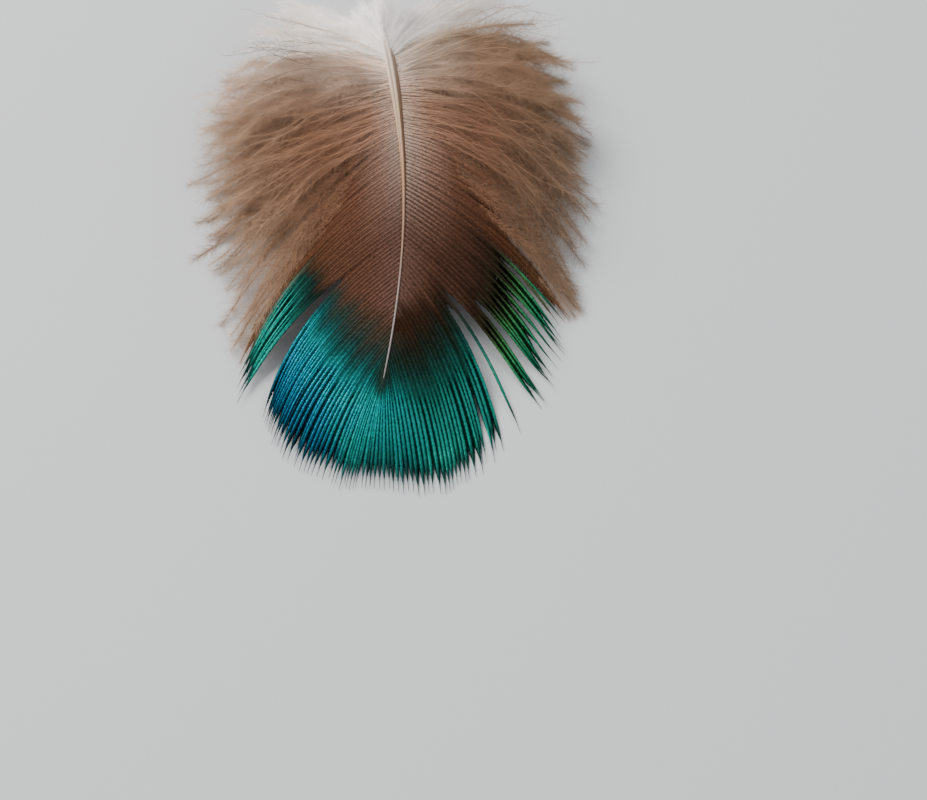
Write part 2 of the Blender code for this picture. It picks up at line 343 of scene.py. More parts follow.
# Where each colour of the ends takes over, going round the vane from the blue on the left: (colour,
# mark, where it starts, where it is complete). The mark "rooted" is the root's distance from the
# shaft's tip, below nought on the left, "off_tip" is the same without its sign, and "drifting"
# wavers round it, where colours melt into each other.
ENDS_ROUND_VANE = (
    ("teal", "drifting", -9.0, -2.0),
    ("green", "drifting", 1.5, 8.0),
    ("green", "rooted", -19.2, -19.8),
    ("stray", "rooted", 16.8, 17.2),
)

# Patches of the vane: (mark, where the patch starts, where it is complete), in mm.
IRIDESCENT_ENDS = (("off_tip", 27.5, 26.5), ("brown_left", 22.5, 19.5))
GLOSSY_ENDS = (("off_tip", 27.5, 26.5), ("from_tip", 15.5, 12.5))
# The painted sheen on the brown barbs, close to the shaft on the right.
PAINTED_SHEEN_PATCH = (("off_tip", 18.0, 26.0), ("from_root", 7.5, 4.0), ("rooted", -1.0, 1.0))
LATE_AT_TIP = (("off_tip", 3.5, 0.5), ("from_root", 3.8, 1.3))
# How much later the colour sets in round the shaft's tip.
LATE_BY = 4.2

# The brown gives way further from the end on short barbs, and on the right: (mark, one value of it,
# another, and the shift at each), in mm.
BROWN_GIVES_WAY = (("off_tip", 0.0, 30.0, -4.9, 5.6), ("rooted", -1.0, 1.0, 0.0, -2.0))

# Painted light on a barb, from its middle (0) to where its barbules meet the next barb's (1): a
# painted highlight along the middle and painted shade, nearly black, at the barbules' ends.
BARB_PAINTED_LIGHT = ((0.0, 1.0), (0.4, 0.9), (0.62, 0.14), (1.0, 0.04))
# The iridescent film's thickness drifts over patches of this size, in mm. That moves the colours
# this far round the vane, and from barb to barb they also move this far along.
FILM_PATCH = 4.0
DRIFT_ROUND = 2.5
DRIFT_ALONG = 0.8
# Painted glints on the barbs, beads of light in mm: coarser than the real barbules, some 0.03 mm
# apart, which would be too fine to show.
PAINTED_GLINT_SIZE = 0.28
PAINTED_GLINT_TONES = (0.72, 1.28)
# How strongly painted light lies on the brown barbs, a painted highlight along each and painted
# shade between: (from this far up the shaft, to this far, from this share, to this).
BROWN_PAINTED_LIGHT = (20.0, 40.0, 0.54, 0.36)
# How much more strongly painted light lies on them, and how much paler they are, in the painted sheen
# close to the shaft on the right.
PAINTED_SHEEN_CONTRAST = 0.3
PAINTED_SHEEN_TONE = 1.35
# Roughness of the brown barbs and of the glossiest ones.
BARB_ROUGHNESS = (0.6, 0.42)

# Colours of the brown barbs, left and right of the shaft's thin end and on its upper half:
# (distance from the root in mm, colour).
BARB_BROWNS = {
    "left": ((0.0, "74554a"), (6.0, "6c4838"), (14.0, "644432"), (24.0, "604430")),
    "right": ((0.0, "74554a"), (5.0, "5e4032"), (10.0, "463026"), (16.0, "3c2a20"), (24.0, "42301f")),
    "upper": (
        (0.0, "c0a898"), (3.5, "a48270"), (8.0, "7e5642"), (15.0, "72462e"), (22.0, "7c5438"),
        (30.0, "8a6448"),
    ),
}

# Where each brown takes over from the left one, in the way of ENDS_ROUND_VANE.
BROWNS_ROUND_VANE = (("right", "rooted", -1.0, 1.0), ("upper", "off_tip", 20.0, 38.0))

# Colours of the down, and of the paler down at the quill: (distance from the root in mm, colour).
DOWN_COLOURS = {
    "low": ((0.0, "ccb09a"), (4.0, "a87e64"), (12.0, "94684e"), (20.0, "a07a5e"), (30.0, "bc9a7e")),
    "high": ((0.0, "ece0d4"), (5.0, "d2bca6"), (12.0, "ae8e72"), (20.0, "a07e60"), (30.0, "b29276")),
    "white": ((0.0, "fffcf8"), (8.0, "fcf8f4"), (18.0, "f0e4d8"), (30.0, "e0ccb8")),
}
# Where each colour takes over from the low down's, in the way of ENDS_ROUND_VANE.
DOWN_ROUND_QUILL = (("high", "off_tip", 40.0, 51.0), ("white", "white", 0.0, 1.0))
# Tufts of down, in mm. Tones lie between these two from tuft to tuft, and from barb to barb.
TUFT = 4.0
TUFT_TONES = (0.84, 1.1)
LUCK_TONES = (0.92, 1.08)
# How much paler the down barbs' own rods are, and where on a barbule (0 to 1) that has gone.
ROD_TONE = 1.6
ROD_EDGE = 0.25
# Between these distances up the shaft the down turns white.
WHITE_QUILL = (54.0, 58.0)
# The highest down on the left pales to its ends, in painted light: (from this far along a barb, to
# this far, from this share of white, to this).
PALING_TO_ENDS = (4.0, 22.0, 0.1, 0.32)
# Patches of down made paler or darker: a factor, and then the patch's edges as for the vane.
# Where painted light falls on the down: its highest on the left.
PAINTED_LIGHT_HIGH_LEFT = (("rooted", -43.0, -50.0),)
DOWN_TONES = {
    # A painted highlight on the left's highest down.
    "high on the left": (1.4, *PAINTED_LIGHT_HIGH_LEFT),
    "low on the right": (
        0.75, ("rooted", 30.0, 31.0), ("rooted", 48.0, 37.0), ("from_root", 6.0, 20.0)
    ),
    "ends on the right": (0.78, ("rooted", -1.0, 1.0), ("from_root", 11.0, 24.0)),
    "single dark hairs": (0.25, ("pale", 0.0, -1.0), ("from_root", 6.0, 13.0)),
}

# The point of the surface that the camera looks at.
LOOKED_AT = (9.7, -25.2)
# The even light of the room, and the floor's size in metres.
SKY_COLOUR = "e9eef2"
SKY_STRENGTH = 0.62
FLOOR_SIZE = 6.0
# The lamps: (name, size and place in metres, power in watts).
LAMPS = (("window", 0.35, (-0.34, 0.22, 0.46), 4.2), ("fill", 0.6, (0.5, -0.35, 0.5), 1.4))
# The width of the camera's sensor, which the focal length goes with.
SENSOR_WIDTH = 36.0


def millimetres(value, name, description):
    """A length on the panel, given here in millimetres."""
    return FloatProperty(
        name=name, description=description, default=value * MM, unit="LENGTH", precision=5
    )


def shade(text, name, description):
    """A colour on the panel, from its sRGB hex value."""
    return FloatVectorProperty(
        name=name,
        description=description,
        default=linear(text),
        subtype="COLOR",
        size=4,
        min=0.0,
        max=1.0,
    )


def linear(text):
    """Linear RGBA from an sRGB hex value such as a0b1c2."""
    parts = [int(text[i : i + 2], 16) / 255 for i in (0, 2, 4)]
    return tuple(c / 12.92 if c <= 0.04045 else ((c + 0.055) / 1.055) ** 2.4 for c in parts) + (1.0,)


def add_node(tree, kind, inputs=(), stops=(), output=0, **settings):
    """Adds a node with these settings, and gives back one of its outputs.

    Its inputs are plain values or the sockets that feed it, in their order or by name. A colour
    band's stops are (place from 0 to 1, colour or grey).
    """
    node = tree.nodes.new("ShaderNode" + kind)
    for name, value in settings.items():
        setattr(node, name, value)
    for name, value in inputs.items() if isinstance(inputs, dict) else enumerate(inputs):
        if isinstance(value, bpy.types.NodeSocket):
            tree.links.new(value, node.inputs[name])
        else:
            node.inputs[name].default_value = value
    if stops:
        band = node.color_ramp.elements
        while len(band) < len(stops):
            band.new(1.0)
        for element, (at, colour) in zip(band, stops):
            element.position = at
            element.color = linear(colour) if isinstance(colour, str) else (colour,) * 3 + (1.0,)
    return node.outputs[output]


def new_material(name, *attributes):
    """An empty node material: its node tree, its Principled shader and its pieces' marks by name."""
    material = bpy.data.materials.new(name)
    material.use_nodes = True
    tree = material.node_tree
    marks = {
        mark: add_node(tree, "Attribute", output="Fac", attribute_name=mark) for mark in attributes
    }
    return material, tree, tree.nodes["Principled BSDF"], marks


def shaft_x(y):
    """Where the shaft's middle is, across the feather."""
    past = np.maximum(y - CREST_Y, 0.0)
    below = np.minimum(y, CREST_Y) - SHAFT_BOW_Y
    slope = 2 * SHAFT_BOW * (CREST_Y - SHAFT_BOW_Y)
    return SHAFT_MIDDLE_X - SHAFT_BOW * below**2 - slope * past - QUILL_STRAIGHTENS * past**2


def shaft_z(y):
    """How high the shaft's middle is."""
    end_y = np.where(y > CREST_Y, QUILL_END_Y, VANE_END_Y)
    end_z = np.where(y > CREST_Y, QUILL_END_HEIGHT, VANE_END_HEIGHT)
    return CREST_HEIGHT - (CREST_HEIGHT - end_z) * ((y - CREST_Y) / (end_y - CREST_Y)) ** 2


def shaft_lean(y):
    """How far the shaft's direction, going to the tip, is off the feather's length."""
    past = np.maximum(y - CREST_Y, 0.0)
    return np.arctan(2 * SHAFT_BOW * (y - past - SHAFT_BOW_Y) + 2 * QUILL_STRAIGHTENS * past)


def vane_z(x, y):
    """Height of the vane: the shaft's arch, falling away to both sides to level off."""
    above = shaft_z(y) - VANE_CUP * (x - shaft_x(y)) ** 2 - LOWEST_BARB
    return LOWEST_BARB + 0.5 * (above + np.hypot(above, LEVELLING))


def stations(side, root):
    """Start angle, end angle, bend and length of the barbs rooted at these places."""
    table = np.array(sorted(BARB_STATIONS[side]))
    return tuple(np.interp(root, table[:, 0], table[:, column]) for column in (1, 2, 3, 4))


def stepped(table, at):
    """Values at these distances, from a table of (distance, value) in any order."""
    rows = np.array(sorted(table))
    return np.interp(at, rows[:, 0], rows[:, 1])


def barb_plan(side, root, start, end, bend, length, samples):
    """Plan view of barbs as (barb, sample) arrays of x and y. They bend towards the tip."""
    shares = np.linspace(0.0, 1.0, samples)
    middles = (shares[1:] + shares[:-1]) / 2
    first = (side * np.radians(start) + shaft_lean(root))[:, None]
    last = (side * np.radians(end))[:, None]
    angle = first + (last - first) * middles ** bend[:, None]
    step = (length / (samples - 1))[:, None]
    x = np.cumsum(np.sin(angle) * step, axis=1)
    y = np.cumsum(-np.cos(angle) * step, axis=1)
    zero = np.zeros((len(root), 1))
    return shaft_x(root)[:, None] + np.hstack([zero, x]), root[:, None] + np.hstack([zero, y])


def unit(vectors):
    """Vectors in the same directions, 1 long."""
    return vectors / np.maximum(np.linalg.norm(vectors, axis=-1, keepdims=True), 1e-9)


class Barbs:
    """Lines that barbs follow, with directions at each sample and marks for each barb."""

    def __init__(self, side, lines, up, root, length, luck):
        self.side = side
        self.lines = lines
        self.root = root
        self.length = length
        self.luck = luck
        self.first_column = 0
        self.pale = 0.0
        self.along = unit(np.gradient(lines, axis=1))
        self.across = unit(np.cross(self.along, up))
        self.up = unit(np.cross(self.across, self.along))
        self.share = np.broadcast_to(np.linspace(0, 1, lines.shape[1])[None], lines.shape[:2])

    def at(self, array, barb, share):
        """Values of a (barb, sample, ...) array at shares of the way along chosen barbs."""
        place_on = share * (array.shape[1] - 1)
        low = np.minimum(place_on.astype(int), array.shape[1] - 2)
        part = place_on - low
        if array.ndim == 3:
            part = part[:, None]
        return array[barb, low] * (1 - part) + array[barb, low + 1] * part

    def directions(self, barb, share, hand):
        """Forward along chosen barbs, out to this hand of them, and up."""
        forward = self.at(self.along, barb, share)
        sideways = self.at(self.across, barb, share) * hand
        return forward, sideways, self.at(self.up, barb, share)

    def marks(self, barb, share, outward, hand):
        """Marks for points on these barbs: arrays that broadcast to (strand, point)."""
        gone = share * self.length[barb]
        return {
            "from_root": gone,
            "from_tip": self.length[barb] - gone,
            "rooted": self.side * (self.root[barb] - RACHIS_TIP_Y),
            "outward": outward,
            "pale": self.pale,
            "luck": self.luck[barb],
            "map_u": self.first_column + barb + 0.5 + 0.46 * hand * np.minimum(outward, 1.0),
            "map_v": share,
        }


class Strands:
    """Many thin blades and rods, gathered as arrays and made into one mesh."""

    def __init__(self):
        self.parts = []
        self.count = 0
        self.columns = 0

    def begin(self, barbs):
        """Gives these barbs their own columns of the UV map."""
        barbs.first_column = self.columns
        self.columns += len(barbs.root)

    def add(self, points, faces, marks):
        """points: (strand, point, 3). faces: one strand's triangles. marks: to (strand, point)."""
        strands, per_strand = points.shape[:2]
        start = self.count + np.arange(strands)[:, None, None] * per_strand
        spread = {
            name: np.broadcast_to(value, (strands, per_strand)).reshape(-1)
            for name, value in marks.items()
        }
        self.parts.append((points.reshape(-1, 3), (start + faces[None]).reshape(-1, 3), spread))
        self.count += strands * per_strand

    def rods(self, barbs, width, height):
        """A three-sided rod along every barb, flat below, thinning to its tip."""
        strands, samples = barbs.lines.shape[:2]
        left = barbs.length[:, None] * (1 - barbs.share)
        half = stepped(width, left)[..., None] * barbs.across
        ridge = stepped(height, left)[..., None] * barbs.up
        points = np.stack([barbs.lines - half, barbs.lines + half, barbs.lines + ridge], axis=2)
        points = points.reshape(strands, samples * 3, 3)
        faces = [(0, 1, 2)]
        for ring in range(samples - 1):
            for corner in range(3):
                a = ring * 3 + corner
                b = ring * 3 + (corner + 1) % 3
                faces += [(a, a + 3, b), (b, a + 3, b + 3)]
        faces += [(samples * 3 - 3, samples * 3 - 1, samples * 3 - 2)]
        barb = np.arange(strands)[:, None]
        marks = barbs.marks(barb, np.repeat(barbs.share, 3, axis=1), 0.0, 0.0)
        self.add(points, np.array(faces), marks)

    def bent_blades(self, base, way, bent, broad, length, width, marks):
        """Flat barbules in three triangles: out, then on in a bent direction to a point."""
        middle = base + way * (length * BARBULE_PARTS[0])[:, None]
        tip = middle + bent * (length * BARBULE_PARTS[1])[:, None]
        half = broad * (width / 2)[:, None]
        ring = [base - half, base + half, middle - half, middle + half, tip]
        self.add(np.stack(ring, axis=1), np.array([(0, 1, 3), (0, 3, 2), (2, 3, 4)]), marks)

    def hairs(self, base, way, broad, length, width, marks):
        """Hair-thin barbules, one long triangle each."""
        half = broad * (width / 2)
        ring = [base - half, base + half, base + way * length[:, None]]
        self.add(np.stack(ring, axis=1), np.array([(0, 1, 2)]), marks)

    def mesh(self, name):
        """The mesh, in metres, above the surface, with its marks as attributes and a UV map."""
        points = np.concatenate([part[0] for part in self.parts])
        points[:, 2] = np.maximum(points[:, 2], LOWEST_POINT)
        points[:, 1] -= BOX_MIDDLE_Y
        faces = np.concatenate([part[1] for part in self.parts]).astype(np.int32)
        marks = {
            mark: np.concatenate([part[2][mark] for part in self.parts]).astype(np.float32)
            for mark in self.parts[0][2]
        }
        mesh = bpy.data.meshes.new(name)
        mesh.vertices.add(len(points))
        mesh.vertices.foreach_set("co", (points * MM).astype(np.float32).ravel())
        mesh.loops.add(faces.size)
        mesh.loops.foreach_set("vertex_index", faces.ravel())
        mesh.polygons.add(len(faces))
        mesh.polygons.foreach_set("loop_start", np.arange(0, faces.size, 3, dtype=np.int32))
        columns = marks.pop("map_u") / self.columns
        unwrapped = np.stack([columns, marks.pop("map_v")], axis=1)[faces.ravel()]
        mesh.uv_layers.new(name="OFBake").uv.foreach_set("vector", unwrapped.ravel())
        for mark, values in marks.items():
            mesh.attributes.new(mark, "FLOAT", "POINT").data.foreach_set("value", values)
        mesh.update(calc_edges=True)
        mesh.validate()
        mesh.shade_smooth()
        return mesh


def place(mesh, material):
    """Puts a finished mesh into the scene as a piece of the feather."""
    mesh.materials.append(material)
    piece = bpy.data.objects.new(mesh.name, mesh)
    bpy.context.scene.collection.objects.link(piece)
    claim(piece)


def claim(piece):
    """Tells the frame what a piece rides on and stands for."""
    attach(piece, BODY)
    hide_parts(NODE)


def vane_barbs(side, chance):
    """The lines of one vane's barbs, from the vane's base round to the shaft's tip."""
    root = [VANE_BASE_Y]
    while root[-1] > RACHIS_TIP_Y:
        root.append(root[-1] - float(stepped(ROOT_PITCH[side], root[-1])))
    root = np.array(root[:-1] + [RACHIS_TIP_Y] * (side > 0))
    barbs = len(root)
    root[:-1] += chance.normal(0, ROOT_UNEVEN, barbs - 1)
    start, end, bend, length = stations(side, root)
    downy_from, downy_to = DOWNY_REGION
    upper = np.clip((root - downy_from) / (downy_to - downy_from), 0, 1)
    clump = np.cumsum(chance.random(barbs) < CLUMP_CHANCE)
    picked = chance.normal(0, 1, (3, clump.max() + 1))[:, clump]
    start = start + chance.normal(0, START_UNEVEN[0] + upper * START_UNEVEN[1], barbs)
    end = end + chance.normal(0, END_UNEVEN[0] + upper * END_UNEVEN[1], barbs)
    end = end + picked[0] * (CLUMP_TURN[0] + upper * CLUMP_TURN[1])
    uneven = chance.normal(0, LENGTH_UNEVEN[0] + upper * LENGTH_UNEVEN[1], barbs)
    length = length * (1 + uneven + picked[1] * CLUMP_LENGTH)
    lift = chance.uniform(*BARB_LIFT, barbs) + np.abs(picked[2]) * CLUMP_LIFT
    for group_side, low, high, spread, raised, _ in LOOSE_GROUPS:
        inside = (root >= low) & (root < high) & (side == group_side)
        end = end + inside * chance.uniform(-1, 1, barbs) * spread
        lift = lift + inside * raised * chance.uniform(0.7, 1.0, barbs)
    x, y = barb_plan(side, root, start, end, bend, length, VANE_SAMPLES)
    share = np.linspace(0, 1, VANE_SAMPLES)[None]
    phase = chance.uniform(*WAVE_BEGINS, (barbs, 1))
    z = vane_z(x, y) + lift[:, None] * share**1.5
    z = z + upper[:, None] * WAVE_UP[0] * share * np.sin(share * WAVE_UP[1] + phase)
    x = x + upper[:, None] * WAVE_SIDEWAYS[0] * share * np.sin(share * WAVE_SIDEWAYS[1] + phase)
    lines = np.stack([x, y, np.maximum(z, LOWEST_LINE)], axis=2)
    up = np.stack([
        vane_z(x - 0.1, y) - vane_z(x + 0.1, y),
        vane_z(x, y - 0.1) - vane_z(x, y + 0.1),
        np.full_like(x, 0.2),
    ], axis=2)
    return Barbs(side, lines, up, root, length, chance.random(barbs))


def neighbour_gaps(barbs):
    """Distance from each sample to the next barb on the across side, and on the other."""
    gaps = []
    for step in (-barbs.side, barbs.side):
        other = np.clip(np.arange(len(barbs.root)) - step, 0, len(barbs.root) - 1)
        apart = barbs.lines[other][:, None] - barbs.lines[:, :, None]
        nearest = np.linalg.norm(apart, axis=3).argmin(axis=2)
        offset = np.take_along_axis(apart, nearest[:, :, None, None], axis=2)[:, :, 0]
        along = np.sum(offset * barbs.along, axis=2, keepdims=True) * barbs.along
        gap = np.linalg.norm(offset - along, axis=2)
        gaps.append(np.where((other == np.arange(len(other)))[:, None], 0.7, gap))
    return gaps


def numbered(per_barb):
    """Which barb each barbule is on, and its number there, from how many each barb has."""
    barb = np.repeat(np.arange(len(per_barb)), per_barb)
    return barb, np.arange(len(barb)) - np.repeat(np.cumsum(per_barb) - per_barb, per_barb)


def hooked_barbules(strands, barbs, pitch, highlight_half_width, chance):
    """The flat, close-set barbules of the vane, which reach to the next barb's."""
    downy = stepped(DOWNY_FROM, barbs.root) * (DOWNY_UNEVEN[0] + DOWNY_UNEVEN[1] * barbs.luck)
    for hand, gap in zip((1.0, -1.0), neighbour_gaps(barbs)):
        barb, order = numbered((np.minimum(downy, barbs.length) / pitch).astype(int))
        share = (order + chance.uniform(*BARBULE_PLACES, len(barb))) * pitch / barbs.length[barb]
        share = np.minimum(share, LAST_BARBULE)
        forward, sideways, upward = barbs.directions(barb, share, hand)
        left = (1 - share) * barbs.length[barb]
        apart = barbs.at(gap, barb, share)
        parted = stepped(PARTED_REACH, apart)
        # On the closed vane they just overlap the next barb's, unless that one is out of reach.
        hooked = np.clip(apart * HOOKED_REACH[0] + HOOKED_REACH[1], *HOOKED_LIMITS)
        hooked = np.where(apart > UNHOOKED_REACH[0], UNHOOKED_REACH[1], hooked)
        reach = np.where(barbs.root[barb] > PARTED_FROM_Y, hooked, parted)
        reach = reach * stepped(REACH_TO_TIP, left)
        reach = reach * chance.uniform(*REACH_UNEVEN, len(barb))
        angle = np.radians(BARBULE_ANGLE[0] + chance.normal(0, BARBULE_ANGLE[1], len(barb)))
        dip = BARBULE_DIP[0] - hand * DIP_BY_HAND + chance.normal(0, BARBULE_DIP[1], len(barb))
        dip = np.radians(dip)
        out = sideways * np.cos(dip)[:, None] - upward * np.sin(dip)[:, None]
        way = forward * np.cos(angle)[:, None] + out * np.sin(angle)[:, None]
        bent = unit(way + forward * BARBULE_BEND - upward * BARBULE_BEND)
        facing = unit(upward * np.cos(dip)[:, None] + sideways * np.sin(dip)[:, None])
        broad = unit(np.cross(way, facing))
        width = pitch * stepped(WIDTH_TO_TIP, left)
        # Where barbs run close together, less of each has the painted highlight, so lines of painted
        # shade still part them.
        lit = np.minimum(highlight_half_width[barb], LIT_WHERE_CLOSE[0] + LIT_WHERE_CLOSE[1] * apart)
        outward = np.array([[0.0, 0.0, 0.7, 0.7, 1.0]]) * (0.5 * reach / lit)[:, None]
        marks = barbs.marks(barb[:, None], share[:, None], outward, hand)
        base = barbs.at(barbs.lines, barb, share)
        strands.bent_blades(base, way, bent, broad, reach / np.sin(angle), width, marks)


def loose_barbules(strands, barbs, from_share, pitch, size, width, chance):
    """The long, unhooked barbules of down, on barbs from a share of the way along them."""
    per_barb = (np.maximum(1 - from_share, 0) * barbs.length * 2 / pitch).astype(int)
    barb, order = numbered(per_barb)
    evenly = (order + chance.uniform(0, 1, len(barb))) / per_barb[barb]
    share = 1 - (1 - evenly) ** LOOSE_THINNING
    share = np.minimum(from_share[barb] + (1 - from_share[barb]) * share, LAST_BARBULE)
    hand = np.where(order % 2 == 0, 1.0, -1.0)[:, None]
    forward, sideways, upward = barbs.directions(barb, share, hand)
    angle = np.radians(chance.normal(*LOOSE_ANGLE, len(barb)))[:, None]
    roll = chance.normal(0, LOOSE_ROLL, (len(barb), 1))
    out = sideways * np.cos(roll) + upward * np.sin(roll)
    waver = chance.normal(0, LOOSE_WAVER, (len(barb), 3))
    way = unit(forward * np.cos(angle) + out * np.sin(angle) + waver)
    facing = unit(upward + chance.normal(0, LOOSE_FACING, (len(barb), 3)))
    broad = unit(np.cross(way, facing))
    left = (1 - share) * barbs.length[barb]
    length = size * stepped(LOOSE_TO_TIP, left)
    length = length * stepped(LOOSE_SETS_IN, (share - from_share[barb]) * barbs.length[barb])
    length = length * chance.uniform(*LOOSE_LENGTHS, len(barb))
    marks = barbs.marks(barb[:, None], share[:, None], np.array([[0.3, 0.3, 1.0]]), hand)
    strands.hairs(barbs.at(barbs.lines, barb, share), way, broad, length, width, marks)


def down_barbs(side, layer, chance):
    """The lines of one layer of one side's down."""
    rise, droop, reach, count, highest, lowest, turned = layer[:7]
    highest += DOWN_ENDS[side]
    root = highest + (lowest - highest) * (np.arange(count) + chance.uniform(0.1, 0.9, count)) / count
    start, end, bend, length = stations(side, root)
    back = turned * ((root - lowest) / (highest - lowest)) ** 0.25
    back = back + DOWN_TURN[side] * np.clip((root - TURN_FROM) / (TURN_WHOLE - TURN_FROM), 0.0, 1.0)
    start = start + back + chance.normal(0, DOWN_START_UNEVEN, count)
    end = end + back + chance.normal(0, DOWN_END_UNEVEN, count)
    length = length * reach * chance.uniform(*DOWN_LENGTHS, count)
    x, y = barb_plan(side, root, start, end, bend, length, DOWN_SAMPLES)
    share = np.linspace(0, 1, DOWN_SAMPLES)[None]
    phase = chance.uniform(*WAVE_BEGINS, (2, count, 1))
    swing = chance.uniform(*DOWN_SWINGS, (2, count, 1)) * share
    wave = share * (length[:, None] / chance.uniform(*DOWN_WAVES, (count, 1))) * FULL_TURN
    off = np.clip(chance.normal(0, DOWN_RISE_UNEVEN, count), -DOWN_RISE_LIMIT, DOWN_RISE_LIMIT)
    rising = np.radians(rise + off)[:, None]
    z = shaft_z(root)[:, None] + length[:, None] * share * np.sin(rising)
    z = z - length[:, None] * droop * chance.uniform(*DOWN_DROOPS, (count, 1)) * share**2
    z = z + swing[0] * np.sin(wave + phase[0])
    y = y + swing[1] * np.sin(wave * 0.8 + phase[1])
    z = DOWN_BOTTOM + 0.5 * ((z - DOWN_BOTTOM) + np.hypot(z - DOWN_BOTTOM, DOWN_LEVELLING[0]))
    z = DOWN_TOP - 0.5 * ((DOWN_TOP - z) + np.hypot(DOWN_TOP - z, DOWN_LEVELLING[1]))
    lines = np.stack([x, y, z], axis=2)
    up = np.zeros_like(lines)
    up[..., 2] = 1.0
    return Barbs(side, lines, up, root, length, chance.random(count))


def patch_share(tree, marks, edges):
    """How far inside a patch of the feather a point is: 1 where it is past all the patch's edges."""
    inside = 1.0
    for mark, outer, inner in edges:
        past = add_node(tree, "MapRange", (marks[mark], outer, inner))
        inside = add_node(tree, "Math", (inside, past), operation="MULTIPLY")
    return inside


def laid_colours(tree, marks, distance, table, span, takeovers):
    """A table's colours over a distance. Each takes over from the ones before past its own edge."""
    share = add_node(tree, "MapRange", (distance, 0.0, span))
    bands = {
        name: add_node(tree, "ValToRGB", (share,), tuple((at / span, tint) for at, tint in stops))
        for name, stops in table.items()
    }
    colour = bands[next(iter(table))]
    for name, *edge in takeovers:
        inputs = {0: patch_share(tree, marks, [edge]), 6: colour, 7: bands[name]}
        colour = add_node(tree, "Mix", inputs, output=2, data_type="RGBA")
    return colour


def keratin_material(settings):
    """Quill and rachis: solid horn, grown smooth, so it has a soft gloss and lengthwise fibres."""
    material, tree, shader, marks = new_material("horn_keratin", "across")
    place_at = add_node(tree, "TexCoord", output="Object")
    along = add_node(tree, "SeparateXYZ", (place_at,), output="Y")
    ends = [(y - BOX_MIDDLE_Y) * MM for y in (RACHIS_TIP_Y, QUILL_END_Y)]
    along = add_node(tree, "MapRange", (along, *ends, 0.0, QUILL_END_Y - RACHIS_TIP_Y))
    # The shaft's painted shade: its groove and its flank away from the light take the colours of the
    # side in shade.
    across = add_node(tree, "MapRange", (marks["across"], -1.0, 1.0))
    marks["painted_shade"] = add_node(tree, "ValToRGB", (across,), HORN_PAINTED_SHADE)
    takeovers = (("shaded_side", "painted_shade", 0.0, 1.0),)
    colour = laid_colours(tree, marks, along, HORN_COLOURS, HORN_SPAN, takeovers)
    grain = [count / MM for count in HORN_FIBRES]
    stretched = add_node(tree, "Mapping", {"Vector": place_at, "Scale": grain})
    fibre = add_node(tree, "TexNoise", {"Vector": stretched, "Scale": 1.0, "Detail": 3.0})
    toning = add_node(tree, "MapRange", (fibre, 0.3, 0.65, *HORN_TONES))
    toned = add_node(tree, "VectorMath", {0: colour, "Scale": toning}, operation="SCALE")
    ridges = {"Height": fibre, "Strength": 0.3, "Distance": HORN_RIDGES * MM}
    tree.links.new(toned, shader.inputs["Base Color"])
    tree.links.new(add_node(tree, "Bump", ridges), shader.inputs["Normal"])
    shader.inputs["Roughness"].default_value = 0.38
    shader.inputs["IOR"].default_value = 1.54
    shader.inputs["Subsurface Weight"].default_value = settings.quill_glow
    shader.inputs["Subsurface Radius"].default_value = (0.0006, 0.0004, 0.0002)
    return material


